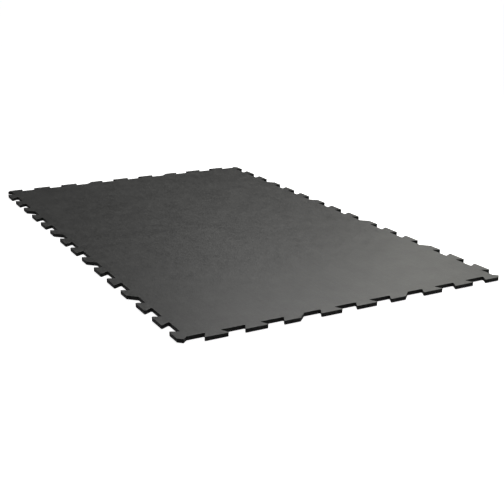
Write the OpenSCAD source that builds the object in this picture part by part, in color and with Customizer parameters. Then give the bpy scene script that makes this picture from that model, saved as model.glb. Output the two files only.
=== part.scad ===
// Interlocking rubber gym floor mat with dovetail tabs on all four edges.
// The mat lies flat, wear face up (+Z) and long side along X. The origin is on the
// underside, at the middle of the mat.
//
// Lattice rule: each edge carries one tab and one socket per pitch, so any two mats
// mate edge to edge, also with one of them turned by a quarter. Every third tab has one
// flank cut at 45 degrees through its lattice line. That is the module line, where the
// corner of a neighbouring mat may fall. The four corners are cut at 45 degrees too and
// all turn the same way round, like a pinwheel.
//
// The mat is a dense wear skin on a crumb rubber core. The core is cut along the root
// lines into a plain field and four rows of tabs, so that every block of it is convex
// and the sockets between the tabs stay open.

/* [Lattice] */
// Tab pitch, one tab and one socket (three pitches are one module)
pitch = 101.6; // [80:0.1:150]
// Tabs along each long edge
tabs_long = 15; // [6:3:30]
// Tabs along each short edge
tabs_short = 9; // [3:3:24]

/* [Dovetail] */
// Depth of a tab from root to tip
tab_depth = 23.2; // [14:0.1:30]
// Undercut of a dovetail flank, measured along the edge from root to tip
undercut = 13; // [4:0.5:18]
// Radius of the upright corners, at the tips and in the roots
corner_r = 2.5; // [0.5:0.1:3]
// Radius of the pointed end of a corner tab
point_r = 1; // [0.5:0.1:2]
// Gap between two mated edges
mating_gap = 0.4; // [0:0.1:1]

/* [Thickness] */
// Overall thickness
mat_t = 10; // [6:0.5:20]
// Thickness of the dense wear skin
skin_t = 1; // [0.5:0.1:2]

/* [Hidden] */
$fn = 48;

// size of the floor one mat covers, from lattice line to lattice line
length_x = tabs_long * pitch;
width_y = tabs_short * pitch;
// tips lie this far outside the lattice line, roots this far inside it
a = tab_depth / 2;
// half of the undercut
q = undercut / 2;
core_t = mat_t - skin_t;
// tips are shortened by the gap, flanks are pulled in by half of it
tip = a - mating_gap;
pull = mating_gap / 2 / cos(atan(q / a));
pull45 = mating_gap / 2 * sqrt(2);

skin_colour = [0.36, 0.37, 0.36];
core_colour = [0.13, 0.13, 0.13];
tab_colour = [0.18, 0.18, 0.18];

function span(p) = sqrt(p[0] * p[0] + p[1] * p[1]);
function toward(p, p2) = (p2 - p) / span(p2 - p);
function before(pts, i) = pts[(i + len(pts) - 1) % len(pts)];
function after(pts, i) = pts[(i + 1) % len(pts)];
// half of the angle between the two sides that meet at corner i
function half_angle(pts, i) =
    let (u = toward(pts[i], before(pts, i)), v = toward(pts[i], after(pts, i)))
    acos(u[0] * v[0] + u[1] * v[1]) / 2;
// middle of the round of radius r at corner i
function round_at(pts, i, r) =
    let (u = toward(pts[i], before(pts, i)), v = toward(pts[i], after(pts, i)))
    pts[i] + toward([0, 0], u + v) * r / sin(half_angle(pts, i));

// Flank positions along the edge, x from the lattice line of tab 0, at height y
// outwards from the lattice line of the edge
function lead_x(y) = -q * y / a + pull;
function trail_x(y) = pitch / 2 + q * y / a - pull;
function module_x(y) = y + pull45;

// Corners of one tab and the radius of each. kind 0 is a full dovetail, 1 has the
// 45 degree flank of a module line, 2 is the corner tab with its pointed end.
function tab_shape(kind) = concat(
    kind == 0 ? [[lead_x(-a), -a, 0], [lead_x(tip), tip, corner_r]]
    : kind == 1 ? [[module_x(-a), -a, 0], [module_x(tip), tip, corner_r]]
    : [[a, -a, 0], [pull45 / 2, -pull45 / 2, point_r], [module_x(tip), tip, corner_r]],
    [[trail_x(tip), tip, corner_r], [trail_x(-a), -a, 0]]);
function kind_of(k) = k == 0 ? 2 : k % 3 == 0 ? 1 : 0;

// One tab block of height t. Straight cuts join the tangent points, and a round of
// the right radius fills each corner.
module tab(kind, t) {
    shape = tab_shape(kind);
    pts = [for (s = shape) [s[0], s[1]]];
    linear_extrude(height = t) union() {
        polygon([for (i = [0 : len(pts) - 1])
            let (r = shape[i][2], run = r / tan(half_angle(pts, i)))
            each (r == 0 ? [pts[i]]
                : [pts[i] + run * toward(pts[i], before(pts, i)),
                   pts[i] + run * toward(pts[i], after(pts, i))])]);
        for (i = [0 : len(pts) - 1]) if (shape[i][2] > 0)
            translate(round_at(pts, i, shape[i][2])) circle(r = shape[i][2]);
    }
}

// Row of n tab blocks along +X, the first one turning the corner
module tab_row(n, t) {
    for (k = [0 : n - 1]) translate([k * pitch, 0, 0]) tab(kind_of(k), t);
}

// Each row starts at its own corner and runs clockwise, seen from above
module at_back() { translate([-length_x / 2, width_y / 2, 0]) children(); }
module at_right() { translate([length_x / 2, width_y / 2, 0]) rotate([0, 0, -90]) children(); }
module at_front() { translate([length_x / 2, -width_y / 2, 0]) rotate([0, 0, 180]) children(); }
module at_left() { translate([-length_x / 2, -width_y / 2, 0]) rotate([0, 0, 90]) children(); }

module tabs_back() { color(tab_colour) at_back() tab_row(tabs_long, core_t); }
module tabs_right() { color(tab_colour) at_right() tab_row(tabs_short, core_t); }
module tabs_front() { color(tab_colour) at_front() tab_row(tabs_long, core_t); }
module tabs_left() { color(tab_colour) at_left() tab_row(tabs_short, core_t); }

// The plain field inside the four root lines
module field(t) {
    translate([a - length_x / 2, a - width_y / 2, 0])
        cube([length_x - 2 * a, width_y - 2 * a, t]);
}
module core_field() { color(core_colour) field(core_t); }

// Outline of one edge for the skin: every corner with its radius, roots included.
// The last socket of an edge ends where the next edge starts.
function edge_shape(n) = [for (k = [0 : n - 1])
    let (s = tab_shape(kind_of(k)))
    each [for (i = [(k == 0 ? 1 : 0) : len(s) - 1])
        [s[i][0] + k * pitch, s[i][1], s[i][1] == -a ? corner_r : s[i][2]]]];
function turned(s, c, sn, x0, y0) =
    [for (p = s) [c * p[0] - sn * p[1] + x0, sn * p[0] + c * p[1] + y0, p[2]]];
// root corner between the last socket and the corner tab of the next edge
function root_of(n) = [[n * pitch - a, -a, corner_r]];
outline = concat(
    turned(concat(edge_shape(tabs_long), root_of(tabs_long)), 1, 0, -length_x / 2, width_y / 2),
    turned(concat(edge_shape(tabs_short), root_of(tabs_short)), 0, -1, length_x / 2, width_y / 2),
    turned(concat(edge_shape(tabs_long), root_of(tabs_long)), -1, 0, length_x / 2, -width_y / 2),
    turned(concat(edge_shape(tabs_short), root_of(tabs_short)), 0, 1, -length_x / 2, -width_y / 2));

// Points of the round at corner i, in order, with steps of at most 18 degrees
function round_points(pts, i, r) =
    let (m = round_at(pts, i, r), g = half_angle(pts, i), run = r / tan(g),
         p = pts[i] + run * toward(pts[i], before(pts, i)) - m,
         p2 = pts[i] + run * toward(pts[i], after(pts, i)) - m,
         turn = (180 - 2 * g) * (p[0] * p2[1] - p[1] * p2[0] < 0 ? -1 : 1),
         n = ceil(abs(turn) / 18))
    [for (j = [0 : n]) let (w = turn * j / n)
        m + [p[0] * cos(w) - p[1] * sin(w), p[0] * sin(w) + p[1] * cos(w)]];

// One sheet over the whole core, rounded at the tips and in the roots
module wear_skin() {
    pts = [for (o = outline) [o[0], o[1]]];
    color(skin_colour) translate([0, 0, core_t]) linear_extrude(height = skin_t)
        polygon([for (i = [0 : len(pts) - 1]) each round_points(pts, i, outline[i][2])]);
}

wear_skin();
core_field();
tabs_front();
tabs_right();
tabs_back();
tabs_left();
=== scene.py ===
import bpy, bmesh, math
from mathutils import Matrix, Quaternion, Vector


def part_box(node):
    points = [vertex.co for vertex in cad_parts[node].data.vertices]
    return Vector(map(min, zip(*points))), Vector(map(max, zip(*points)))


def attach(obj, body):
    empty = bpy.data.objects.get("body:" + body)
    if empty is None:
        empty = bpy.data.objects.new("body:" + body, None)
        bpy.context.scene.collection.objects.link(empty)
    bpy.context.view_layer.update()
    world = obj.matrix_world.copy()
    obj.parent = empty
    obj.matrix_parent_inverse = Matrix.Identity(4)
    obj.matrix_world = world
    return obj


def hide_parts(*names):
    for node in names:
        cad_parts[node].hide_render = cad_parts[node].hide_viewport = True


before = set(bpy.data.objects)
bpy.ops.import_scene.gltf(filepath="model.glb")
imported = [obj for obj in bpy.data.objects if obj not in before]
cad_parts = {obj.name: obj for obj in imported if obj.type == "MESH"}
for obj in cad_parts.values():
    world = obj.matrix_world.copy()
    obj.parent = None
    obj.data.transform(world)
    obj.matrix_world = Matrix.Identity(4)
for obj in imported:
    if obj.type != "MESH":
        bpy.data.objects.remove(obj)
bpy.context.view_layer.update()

# ---------------------------------------------------------------- sizes, in metres
# the dovetail lattice; the overall sizes are read from the frame
TABS_LONG, TABS_SHORT = 15, 9
TABS_PER_MODULE = 3
MATING_GAP = 0.0004
UNDERCUT = 0.013
CORNER_RADIUS = 0.0025
POINT_RADIUS = 0.0010
skin_low, skin_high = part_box("wear_skin")
field_low, field_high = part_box("core_field")
mat_top, ply_line = skin_high.z, skin_low.z
tab_depth = (skin_high.x - field_high.x) + MATING_GAP
pitch = (field_high.x - field_low.x + tab_depth) / TABS_LONG

# the cut edge: a small round, then a flat margin that carries the face
ARRIS = 0.00025
MARGIN = 0.0005
CORE_SHY = 0.00008          # the core stands this far back from the skin
CORE_WALL_RINGS = 7
WELD = 0.000002             # points closer than this are one point
CUT_TILT = 0.6              # a face whose normal rises less than this is a cut wall


# ---------------------------------------------------------------- node writing
WHOLE_SLACK = 0.25          # whole numbers this close are the same


class Reckoning:
    """A socket in a node tree that plain arithmetic works on."""

    def __init__(self, tree, socket):
        self.tree, self.socket = tree, socket

    def work(self, operation, *others):
        node = self.tree.nodes.new("ShaderNodeMath")
        node.operation = operation
        for slot, value in zip(node.inputs, (self, *others)):
            feed(self.tree, slot, value)
        return Reckoning(self.tree, node.outputs[0])

    def __add__(self, other): return self.work("ADD", other)
    def __sub__(self, other): return self.work("SUBTRACT", other)
    def __mul__(self, other): return self.work("MULTIPLY", other)
    def __truediv__(self, other): return self.work("DIVIDE", other)
    __radd__, __rmul__ = __add__, __mul__
    def __rsub__(self, other): return (self * -1.0) + other
    def __rtruediv__(self, other): return self.work("POWER", -1.0) * other
    def floor(self): return self.work("FLOOR")
    def absolute(self): return self.work("ABSOLUTE")
    def modulo(self, other): return self.work("FLOORED_MODULO", other)
    def below(self, other): return self.work("LESS_THAN", other)
    def at_least(self, other): return 1.0 - self.below(other)
    def near(self, other): return self.work("COMPARE", other, WHOLE_SLACK)


def feed(tree, slot, value):
    """Links a socket to an input, or sets the input to a plain value."""
    if isinstance(value, Reckoning):
        tree.links.new(value.socket, slot)
    elif isinstance(value, bpy.types.NodeSocket):
        tree.links.new(value, slot)
    else:
        slot.default_value = value


def add(tree, kind, options=None, **inputs):
    """A new node. Inputs go by socket name, with _ for a space, or by place as i0, i1."""
    node = tree.nodes.new(kind)
    for name, value in (options or {}).items():
        setattr(node, name, value)
    for name, value in inputs.items():
        if name[0] == "i" and name[1:].isdigit():
            slot = node.inputs[int(name[1:])]
        else:
            label = name.replace("_", " ")
            slot = next(s for s in node.inputs if s.name == label and s.enabled)
        feed(tree, slot, value)
    return node


def new_tree(name, sockets):
    """An empty Geometry Nodes tree with named inputs: (tree, its inputs by name)."""
    tree = bpy.data.node_groups.new(name, "GeometryNodeTree")
    for label, kind, value in sockets:
        slot = tree.interface.new_socket(label, in_out="INPUT", socket_type=kind)
        if value is not None:
            slot.default_value = value
    tree.interface.new_socket("Geometry", in_out="OUTPUT", socket_type="NodeSocketGeometry")
    entry = tree.nodes.new("NodeGroupInput")
    return tree, {s.name: Reckoning(tree, s) for s in entry.outputs if s.name}


def place_in_scene(name, mesh):
    piece = bpy.data.objects.new(name, mesh)
    bpy.context.scene.collection.objects.link(piece)
    return piece


def grow(name, tree, **values):
    """Runs a tree on an empty mesh and gives back a plain mesh piece."""
    seed = place_in_scene(name + "_seed", bpy.data.meshes.new(name + "_seed"))
    modifier = seed.modifiers.new(name, "NODES")
    modifier.node_group = tree
    slots = {i.name: i.identifier for i in tree.interface.items_tree if i.in_out == "INPUT"}
    for label, value in values.items():
        modifier[slots[label.replace("_", " ")]] = value
    bpy.context.view_layer.update()
    ready = seed.evaluated_get(bpy.context.evaluated_depsgraph_get())
    mesh = bpy.data.meshes.new_from_object(ready)
    mesh.name = name
    for slot in reversed(range(len(mesh.materials))):
        if mesh.materials[slot] is None:
            mesh.materials.pop(index=slot)
    seed.modifiers.clear()
    bpy.data.objects.remove(seed)
    return place_in_scene(name, mesh)


# ---------------------------------------------------------------- the toothed outline
OUTLINE_SOCKETS = [
    ("Pitch", "NodeSocketFloat", pitch),
    ("Tabs Long", "NodeSocketFloat", float(TABS_LONG)),
    ("Tabs Short", "NodeSocketFloat", float(TABS_SHORT)),
    ("Tabs Per Module", "NodeSocketFloat", float(TABS_PER_MODULE)),
    ("Tab Depth", "NodeSocketFloat", tab_depth),
    ("Undercut", "NodeSocketFloat", UNDERCUT),
    ("Mating Gap", "NodeSocketFloat", MATING_GAP),
    ("Corner Radius", "NodeSocketFloat", CORNER_RADIUS),
    ("Point Radius", "NodeSocketFloat", POINT_RADIUS),
]
CORNERS_PER_TAB = 4
ROUND_POINTS = 6
HAIR = 0.0001               # keeps a whole number from being floored to the one below


def outline_nodes(tree, g):
    """The closed outline as a curve, clockwise from above. Each edge is a row of tabs with
    four corners each (root, tip, tip, root) and ends in one root corner. The long edge and
    the short edge after it are worked out, and the other two are their half-turn."""
    deep = g["Tab Depth"] * 0.5
    under = g["Undercut"] * 0.5
    tip = deep - g["Mating Gap"]
    # half of the gap comes off every flank, squarely to it
    pull = g["Mating Gap"] * (0.5 / math.cos(math.atan(UNDERCUT / tab_depth)))
    pull45 = g["Mating Gap"] * (0.5 * math.sqrt(2))

    # which corner of which tab of which edge a point is
    on_long = g["Tabs Long"] * CORNERS_PER_TAB + 1.0
    on_short = g["Tabs Short"] * CORNERS_PER_TAB + 1.0
    index = Reckoning(tree, add(tree, "GeometryNodeInputIndex").outputs[0])
    half_turn = (index / (on_long + on_short) + HAIR).floor()
    along = index - half_turn * (on_long + on_short)
    side = along.at_least(on_long - 0.5)                   # 0 long edge, 1 short edge
    corner = along - side * on_long
    tab = (corner / float(CORNERS_PER_TAB) + HAIR).floor()
    turn = corner - tab * float(CORNERS_PER_TAB)
    count = g["Tabs Long"] + side * (g["Tabs Short"] - g["Tabs Long"])
    first, last = tab.near(0.0), tab.near(count)
    module = tab.modulo(g["Tabs Per Module"]).near(0.0) * (1.0 - first)
    plain = 1.0 - first - module
    lead, lead_tip, trail_tip, trail = (turn.near(float(k)) for k in range(CORNERS_PER_TAB))

    # x runs along the edge from its start, y stands out of it from the lattice line;
    # the leading flank is a plain dovetail, a module's 45 degree flank, or the mat's corner
    lean = under * (tip / deep)
    x_lead = plain * (under + pull) + module * (pull45 - deep) + first * (pull45 * 0.5)
    x_lead_tip = plain * (pull - lean) + (first + module) * (tip + pull45)
    x_trail_tip = g["Pitch"] * 0.5 + lean - pull
    x_trail = g["Pitch"] * 0.5 - under - pull
    x = lead * x_lead + lead_tip * x_lead_tip + trail_tip * x_trail_tip + trail * x_trail
    y_lead = deep * (1.0 - first) + first * (pull45 * 0.5)
    y = (lead_tip + trail_tip) * tip - trail * deep - lead * y_lead
    x = tab * g["Pitch"] + x * (1.0 - last) - last * deep
    y = y * (1.0 - last) - last * deep

    # long edge at (x - length/2, width/2 + y), short edge at (length/2 + y, width/2 - x)
    half_long, half_short = (g["Pitch"] * g[n] * 0.5 for n in ("Tabs Long", "Tabs Short"))
    sign = 1.0 - half_turn * 2.0
    mat_x = ((x - half_long) * (1.0 - side) + (half_long + y) * side) * sign
    mat_y = ((half_short + y) * (1.0 - side) + (half_short - x) * side) * sign
    radius = g["Corner Radius"] + (g["Point Radius"] - g["Corner Radius"]) * (first * lead)

    line = add(tree, "GeometryNodeMeshLine", Count=(on_long + on_short) * 2.0)
    spot = add(tree, "ShaderNodeCombineXYZ", X=mat_x, Y=mat_y)
    line = add(tree, "GeometryNodeSetPosition", Geometry=line.outputs[0], Position=spot.outputs[0])
    line = add(tree, "GeometryNodeStoreNamedAttribute", {"data_type": "FLOAT", "domain": "POINT"},
               Geometry=line.outputs[0], Name="round", Value=radius)
    curve = add(tree, "GeometryNodeMeshToCurve", Mesh=line.outputs[0])
    loop = add(tree, "GeometryNodeSetSplineCyclic", Geometry=curve.outputs[0], Cyclic=True)
    rounds = add(tree, "GeometryNodeInputNamedAttribute", {"data_type": "FLOAT"}, Name="round")
    return add(tree, "GeometryNodeFilletCurve", {"mode": "POLY"}, Curve=loop.outputs[0],
               Count=ROUND_POINTS, Radius=rounds.outputs[0], Limit_Radius=True).outputs[0]


def split_straights(tree, curve, step):
    """More points on the straight runs of a curve, and none on its rounds."""
    here = add(tree, "GeometryNodeInputPosition").outputs[0]
    index = Reckoning(tree, add(tree, "GeometryNodeInputIndex").outputs[0])
    size = add(tree, "GeometryNodeAttributeDomainSize", {"component": "CURVE"}, Geometry=curve)
    after = (index + 1.0).modulo(Reckoning(tree, size.outputs["Point Count"]))
    there = add(tree, "GeometryNodeFieldAtIndex", {"data_type": "FLOAT_VECTOR", "domain": "POINT"},
                Index=after, Value=here).outputs[0]
    run = add(tree, "ShaderNodeVectorMath", {"operation": "DISTANCE"}, i0=here, i1=there)
    cuts = (Reckoning(tree, run.outputs["Value"]) / step).floor()
    return add(tree, "GeometryNodeSubdivideCurve", Curve=curve, Cuts=cuts).outputs[0]


def mark_outward(tree, curve):
    """Keeps the level direction out of the mat, which is left of the way the curve runs."""
    tangent = add(tree, "GeometryNodeInputTangent").outputs[0]
    part = add(tree, "ShaderNodeSeparateXYZ", i0=tangent)
    left = add(tree, "ShaderNodeCombineXYZ", X=Reckoning(tree, part.outputs[1]) * -1.0,
               Y=part.outputs[0])
    return add(tree, "GeometryNodeStoreNamedAttribute",
               {"data_type": "FLOAT_VECTOR", "domain": "POINT"},
               Geometry=curve, Name="outward", Value=left.outputs[0]).outputs[0]


def sheet_tree(name, rings):
    """A closed toothed sheet. Each ring of the wall is (inset, height, arris mark), from the lower
    rim to the upper one; the first and last rings carry the flat faces. The arris mark is 1 on the
    rounded arris, which the face finish paints lighter, partly as wear and partly as a painted
    highlight."""
    tree, g = new_tree(name, OUTLINE_SOCKETS + [
        ("Straight Step", "NodeSocketFloat", 0.002),
        ("Crumb Size", "NodeSocketFloat", 0.002),
        ("Crumb Relief", "NodeSocketFloat", 0.0),
        ("Crumb Seed", "NodeSocketFloat", 0.0),
        ("Face Finish", "NodeSocketMaterial", None),
        ("Cut Finish", "NodeSocketMaterial", None)])
    curve = split_straights(tree, outline_nodes(tree, g), g["Straight Step"])
    curve = mark_outward(tree, curve)
    way = add(tree, "GeometryNodeInputNamedAttribute", {"data_type": "FLOAT_VECTOR"},
              Name="outward").outputs[0]

    def moved(geometry, inset, lift, selection=True):
        shift = add(tree, "ShaderNodeVectorMath", {"operation": "SCALE"}, i0=way, Scale=-inset)
        offset = add(tree, "ShaderNodeVectorMath", {"operation": "ADD"}, i0=shift.outputs[0],
                     i1=(0.0, 0.0, lift))
        return add(tree, "GeometryNodeSetPosition", Geometry=geometry, Offset=offset.outputs[0],
                   Selection=selection).outputs[0]

    def face(ring, facing_down):
        rim = moved(curve, ring[0], 0.0)
        flat = add(tree, "GeometryNodeFillCurve", {"mode": "TRIANGLES"}, Curve=rim).outputs[0]
        flat = add(tree, "GeometryNodeTransform", Geometry=flat,
                   Translation=(0.0, 0.0, ring[1])).outputs[0]
        return add(tree, "GeometryNodeFlipFaces", Mesh=flat).outputs[0] if facing_down else flat

    # the wall, extruded ring by ring
    wall = moved(add(tree, "GeometryNodeCurveToMesh", Curve=curve).outputs[0], *rings[0][:2])
    newest = True
    for (inset, height, _), (inset_2, height_2, rub_and_highlight) in zip(rings, rings[1:]):
        step = add(tree, "GeometryNodeExtrudeMesh", {"mode": "EDGES"}, Mesh=wall,
                   Selection=newest, Offset_Scale=0.0)
        newest = step.outputs["Top"]
        wall = moved(step.outputs["Mesh"], inset_2 - inset, height_2 - height, newest)
        # the arris mark: where the face finish paints wear and a painted highlight
        wall = add(tree, "GeometryNodeStoreNamedAttribute",
                   {"data_type": "FLOAT", "domain": "POINT"}, Geometry=wall, Selection=newest,
                   Name="rub_and_highlight", Value=float(rub_and_highlight)).outputs[0]
    join = add(tree, "GeometryNodeJoinGeometry")
    for shape in (wall, face(rings[0], True), face(rings[-1], False)):
        tree.links.new(shape, join.inputs[0])
    sheet = add(tree, "GeometryNodeMergeByDistance", Geometry=join.outputs[0],
                Distance=WELD).outputs[0]

    # crumb relief, sideways only, on the upright part of the wall
    outermost = min(inset for inset, _, _ in rings)
    upright = [height for inset, height, _ in rings if inset == outermost]
    here = add(tree, "GeometryNodeInputPosition").outputs[0]
    z = Reckoning(tree, add(tree, "ShaderNodeSeparateXYZ", i0=here).outputs[2])
    on_wall = z.at_least(upright[0] - WELD) * z.below(upright[-1] - WELD)
    crumbs = add(tree, "ShaderNodeTexNoise", {"noise_dimensions": "4D"}, Vector=here,
                 W=g["Crumb Seed"], Scale=1.0 / g["Crumb Size"], Detail=2.0,
                 Roughness=0.6).outputs[0]
    push = add(tree, "ShaderNodeVectorMath", {"operation": "SCALE"}, i0=way,
               Scale=(Reckoning(tree, crumbs) - 0.5) * g["Crumb Relief"])
    sheet = add(tree, "GeometryNodeSetPosition", Geometry=sheet, Selection=on_wall,
                Offset=push.outputs[0]).outputs[0]

    for spent in ("outward", "round"):
        sheet = add(tree, "GeometryNodeRemoveAttribute", Geometry=sheet, Name=spent).outputs[0]
    sheet = add(tree, "GeometryNodeSetShadeSmooth", Geometry=sheet, Shade_Smooth=True).outputs[0]
    sheet = add(tree, "GeometryNodeRealizeInstances", Geometry=sheet).outputs[0]
    # upright faces are cut through the sheet, the others are its moulded faces
    normal = add(tree, "GeometryNodeInputNormal").outputs[0]
    tilt = Reckoning(tree, add(tree, "ShaderNodeSeparateXYZ", i0=normal).outputs[2]).absolute()
    sheet = add(tree, "GeometryNodeSetMaterial", Geometry=sheet,
                Material=g["Face Finish"]).outputs[0]
    sheet = add(tree, "GeometryNodeSetMaterial", Geometry=sheet, Selection=tilt.below(CUT_TILT),
                Material=g["Cut Finish"]).outputs[0]
    tree.links.new(sheet, tree.nodes.new("NodeGroupOutput").inputs[0])
    return tree


# ---------------------------------------------------------------- rubber finishes
def rubber(name, gloss):
    """A material with a shader and nothing on it yet: (material, tree, shader, place)."""
    material = bpy.data.materials.new(name)
    material.use_nodes = True
    tree = material.node_tree
    tree.nodes.clear()
    shader = add(tree, "ShaderNodeBsdfPrincipled")
    shader.inputs["Specular IOR Level"].default_value = gloss
    add(tree, "ShaderNodeOutputMaterial", Surface=shader.outputs[0])
    return material, tree, shader, add(tree, "ShaderNodeTexCoord").outputs["Object"]


def mottle(tree, place, size, detail=3.0):
    """Noise with lumps of a size in metres, centred on nought."""
    noise = add(tree, "ShaderNodeTexNoise", Vector=place, Scale=1.0 / size, Detail=detail,
                Roughness=0.6)
    return Reckoning(tree, noise.outputs[0]) - 0.5


def between(tree, value, low, high, to_low=0.0, to_high=1.0):
    """Maps low to high onto to_low to to_high, and stops at the ends."""
    return add(tree, "ShaderNodeMapRange", {"clamp": True}, Value=value, From_Min=low,
               From_Max=high, To_Min=to_low, To_Max=to_high).outputs[0]


def shade(tree, value, dark, light):
    """A colour from dark to light as a value goes from 0 to 1."""
    ramp = add(tree, "ShaderNodeValToRGB", Fac=value)
    for stop, colour in zip(ramp.color_ramp.elements, (dark, light)):
        stop.color = (*colour, 1.0)
    return ramp.outputs[0]


DARK_RUBBER = (0.010, 0.010, 0.0097)
WORN_RUBBER = (0.090, 0.090, 0.088)


def wear_rubber():
    """Dense black top sheet: dull, finely pebbled, mottled at every size, with faint drag
    marks from the rolls, and an arris painted slightly lighter, partly as wear and partly as a
    painted highlight."""
    material, tree, shader, place = rubber("wear_rubber", gloss=0.5)
    cloud = mottle(tree, place, 0.16, 4.0)
    patch = mottle(tree, place, 0.059)
    blotch = mottle(tree, place, 0.018, 4.0)
    speck = mottle(tree, place, 0.0062)
    fleck = mottle(tree, place, 0.0029, 2.0)
    grain = mottle(tree, place, 0.0014, 2.0)
    rolled = add(tree, "ShaderNodeMapping", Vector=place, Rotation=(0.0, 0.0, math.radians(18)),
                 Scale=(1.0, 22.0, 1.0)).outputs[0]
    drag = mottle(tree, rolled, 0.2)
    arris = add(tree, "ShaderNodeAttribute", {"attribute_name": "rub_and_highlight"})
    rub_and_highlight = Reckoning(tree, arris.outputs["Fac"])

    # the arris mark lightens the edge: partly wear, partly a painted highlight where the round
    # would catch the light
    tone = (cloud * 0.45 + patch * 0.7 + blotch * 0.8 + speck * 1.3 + fleck * 2.1 + grain * 0.9
            + drag * 0.4 + rub_and_highlight * speck.at_least(-0.06) * 0.3)
    feed(tree, shader.inputs["Base Color"],
         shade(tree, between(tree, tone, -0.65, 0.65), DARK_RUBBER, WORN_RUBBER))
    dull = blotch * 0.8 + speck * 0.8 + fleck * 1.4 + grain * 0.5 - rub_and_highlight * 0.2
    feed(tree, shader.inputs["Roughness"], between(tree, dull, -0.5, 0.5, 0.34, 0.61))
    pebble = add(tree, "ShaderNodeTexVoronoi", {"feature": "SMOOTH_F1"}, Vector=place,
                 Scale=430.0, Smoothness=0.6).outputs[0]
    fine = add(tree, "ShaderNodeBump", Height=grain * 0.5 - Reckoning(tree, pebble) * 0.5,
               Strength=0.35, Distance=0.0006)
    wide = add(tree, "ShaderNodeBump", Height=speck, Strength=0.25, Distance=0.0012,
               Normal=fine.outputs[0])
    feed(tree, shader.inputs["Normal"], wide.outputs[0])
    return material


def crumb_rubber(name, crumb, dark, light, gloss, relief):
    """Bonded black crumb: granules of a size in metres, each of its own grey, with painted shade
    darkening the recessed seams between them."""
    material, tree, shader, place = rubber(name, gloss)
    wander = mottle(tree, place, 0.0038, 2.0) * 0.0012
    uneven = add(tree, "ShaderNodeVectorMath", {"operation": "ADD"}, i0=place, i1=wander).outputs[0]
    grains = add(tree, "ShaderNodeTexVoronoi", {"feature": "F1"}, Vector=uneven, Scale=1.0 / crumb)
    seams = add(tree, "ShaderNodeTexVoronoi", {"feature": "DISTANCE_TO_EDGE"}, Vector=uneven,
                Scale=1.0 / crumb)
    inside = Reckoning(tree, between(tree, seams.outputs["Distance"], 0.0, 0.16))
    draws = add(tree, "ShaderNodeSeparateXYZ", i0=grains.outputs["Color"]).outputs
    tone, dull, proud = (Reckoning(tree, draws[k]) for k in range(3))

    # each grain darkens towards its seam: painted shade in the crevices that the bump sinks
    grey = (tone * tone * 0.75 + mottle(tree, place, 0.022) * 0.6) * (inside * 0.7 + 0.3)
    feed(tree, shader.inputs["Base Color"], shade(tree, grey, (dark,) * 3, (light,) * 3))
    feed(tree, shader.inputs["Roughness"], between(tree, dull, 0.0, 1.0, 0.62, 0.92))
    height = inside * 0.8 + proud * 0.5 + mottle(tree, place, 0.0007, 2.0) * 0.3
    bump = add(tree, "ShaderNodeBump", Height=height, Strength=0.7, Distance=relief)
    feed(tree, shader.inputs["Normal"], bump.outputs[0])
    return material


wear_face = wear_rubber()
# the cut walls take a darker copy of the crumb than the moulded back: that extra darkness is
# painted shade for walls turned away from the lamps
shaded_cut_edge = crumb_rubber("shade_darkened_cut_crumb", crumb=0.0023, dark=0.006, light=0.029, gloss=0.07,
                        relief=0.0005)
moulded_back = crumb_rubber("moulded_crumb", crumb=0.0030, dark=0.012, light=0.050, gloss=0.25,
                            relief=0.0004)


# ---------------------------------------------------------------- the two plies
def rounded(inset, face_height, steps, upwards):
    """Rings of a quarter round from the wall to a face, all marked as the lighter arris (wear and
    painted highlight) but the one on the wall.
    """
    drop = ARRIS if upwards else -ARRIS
    turns = [math.pi / 2 * k / steps for k in range(steps + 1)]
    return [(inset + ARRIS * (1.0 - math.cos(turn)),
             face_height - drop * (1.0 - math.sin(turn)), turn > 0.0) for turn in turns]


skin_rings = [(MARGIN, ply_line, 0), (0.0, ply_line, 0)]
skin_rings += rounded(0.0, mat_top, steps=4, upwards=True)
skin_rings += [(ARRIS + MARGIN, mat_top, 0)]
skin = grow("wear_skin_sheet", sheet_tree("Wear Skin", skin_rings), Straight_Step=0.003,
            Crumb_Size=0.004, Crumb_Relief=0.00012, Crumb_Seed=1.0,
            Face_Finish=wear_face, Cut_Finish=shaded_cut_edge)

foot = reversed(rounded(CORE_SHY, 0.0, steps=3, upwards=False))
wall_rise = (ply_line - ARRIS) / CORE_WALL_RINGS
core_rings = [(CORE_SHY + ARRIS + MARGIN, 0.0, 0)]
core_rings += [(inset, height, 0) for inset, height, _ in foot]
core_rings += [(CORE_SHY, ARRIS + wall_rise * k, 0) for k in range(1, CORE_WALL_RINGS + 1)]
core_rings += [(CORE_SHY + MARGIN, ply_line, 0)]
core = grow("crumb_core_body", sheet_tree("Crumb Core", core_rings), Straight_Step=0.0018,
            Crumb_Size=0.0022, Crumb_Relief=0.0007, Crumb_Seed=2.0,
            Face_Finish=moulded_back, Cut_Finish=shaded_cut_edge)

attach(skin, "root")
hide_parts("wear_skin")
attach(core, "root")
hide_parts("core_field", "tabs_front", "tabs_right", "tabs_back", "tabs_left")

# ---------------------------------------------------------------- studio
REACH = 40.0                # the floor's and the dome's half width
FLOOR_DROP = 0.0002
FLOOR_GLOW = 0.92
SKY_GLOW = 0.10
SOFTBOX_SIDE = 1.0
WHITE = (1.0, 1.0, 1.0, 1.0)
PAPER = (0.86, 0.86, 0.86, 1.0)
PAPER_ROUGHNESS = 0.9


def stage_piece(name, make, **settings):
    """A backdrop piece from a bmesh operator."""
    shell = bmesh.new()
    make(shell, **settings)
    mesh = bpy.data.meshes.new(name)
    shell.to_mesh(mesh)
    shell.free()
    piece = place_in_scene(name, mesh)
    return piece


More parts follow.
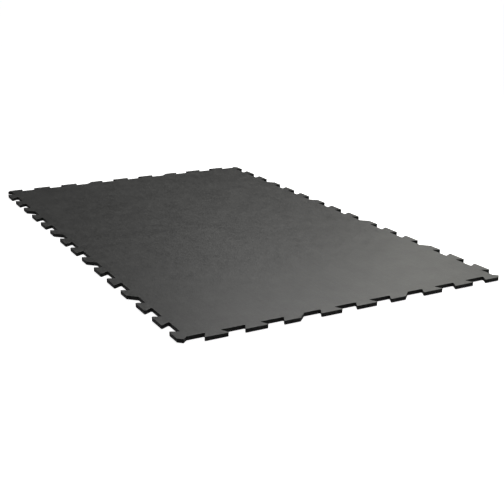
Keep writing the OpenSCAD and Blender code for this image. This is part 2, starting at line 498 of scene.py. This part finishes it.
floor = stage_piece("floor", bmesh.ops.create_grid, x_segments=1, y_segments=1, size=REACH)
floor.data.transform(Matrix.Translation((0.0, 0.0, -FLOOR_DROP)))
paper = bpy.data.materials.new("white_paper")
paper.use_nodes = True
sheet = paper.node_tree.nodes["Principled BSDF"].inputs
sheet["Base Color"].default_value = PAPER
sheet["Roughness"].default_value = PAPER_ROUGHNESS
sheet["Emission Color"].default_value = WHITE
sheet["Emission Strength"].default_value = FLOOR_GLOW
floor.data.materials.append(paper)

# a white dome round it all, which only the camera sees
dome = stage_piece("dome", bmesh.ops.create_uvsphere, u_segments=48, v_segments=24, radius=REACH)
white = bpy.data.materials.new("white_dome")
white.use_nodes = True
white.node_tree.nodes.clear()
light = add(white.node_tree, "ShaderNodeEmission", Color=WHITE, Strength=1.0)
add(white.node_tree, "ShaderNodeOutputMaterial", Surface=light.outputs[0])
dome.data.materials.append(white)
dome.visible_diffuse = dome.visible_glossy = False
dome.visible_transmission = dome.visible_shadow = False

world = bpy.data.worlds.new("studio")
world.use_nodes = True
sky = world.node_tree.nodes["Background"].inputs
sky["Color"].default_value = WHITE
sky["Strength"].default_value = SKY_GLOW
bpy.context.scene.world = world


def softbox(name, place, aim, power, tint):
    """A square area lamp, turned to a spot on the near half of the mat."""
    lamp = bpy.data.lights.new(name, "AREA")
    lamp.shape, lamp.size, lamp.energy, lamp.color = "SQUARE", SOFTBOX_SIDE, power, tint
    holder = place_in_scene(name, lamp)
    holder.location = place
    towards = Vector(aim) - holder.location
    holder.rotation_euler = towards.to_track_quat("-Z", "Y").to_euler()
    holder.visible_camera = False


softbox("high_softbox", (-1.0, 0.9, 2.0), (0.3, 0.0, 0.0), power=24.3, tint=(1.0, 1.0, 0.99))
softbox("near_softbox", (0.0, 0.9, 1.1), (0.3, 0.0, 0.0), power=6.7, tint=(1.0, 1.0, 0.93))
softbox("low_softbox", (-1.2, 2.2, 1.1), (0.5, 0.3, 0.0), power=4.6, tint=(1.0, 1.0, 0.93))

# the camera stands off the near right corner and looks down the mat
VIEW_BEARING, VIEW_FALL, VIEW_ROLL = (math.radians(a) for a in (151.337, 17.609, 0.2475))
AIM = Vector((0.2509, -0.0087, 0.0))
VIEW_DISTANCE = 2.5995
LENS_LENGTH, SENSOR_WIDTH = 64.263, 36.0        # in millimetres
lens = bpy.data.cameras.new("camera")
lens.lens, lens.sensor_width, lens.clip_end = LENS_LENGTH, SENSOR_WIDTH, 5.0 * REACH
camera = place_in_scene("camera", lens)
ahead = Vector((math.cos(VIEW_BEARING) * math.cos(VIEW_FALL),
                math.sin(VIEW_BEARING) * math.cos(VIEW_FALL), -math.sin(VIEW_FALL)))
camera.location = AIM - ahead * VIEW_DISTANCE
camera.rotation_mode = "QUATERNION"
camera.rotation_quaternion = ahead.to_track_quat("-Z", "Y") @ Quaternion((0.0, 0.0, 1.0), VIEW_ROLL)
bpy.context.scene.camera = camera
bpy.context.scene.view_settings.view_transform = "Standard"
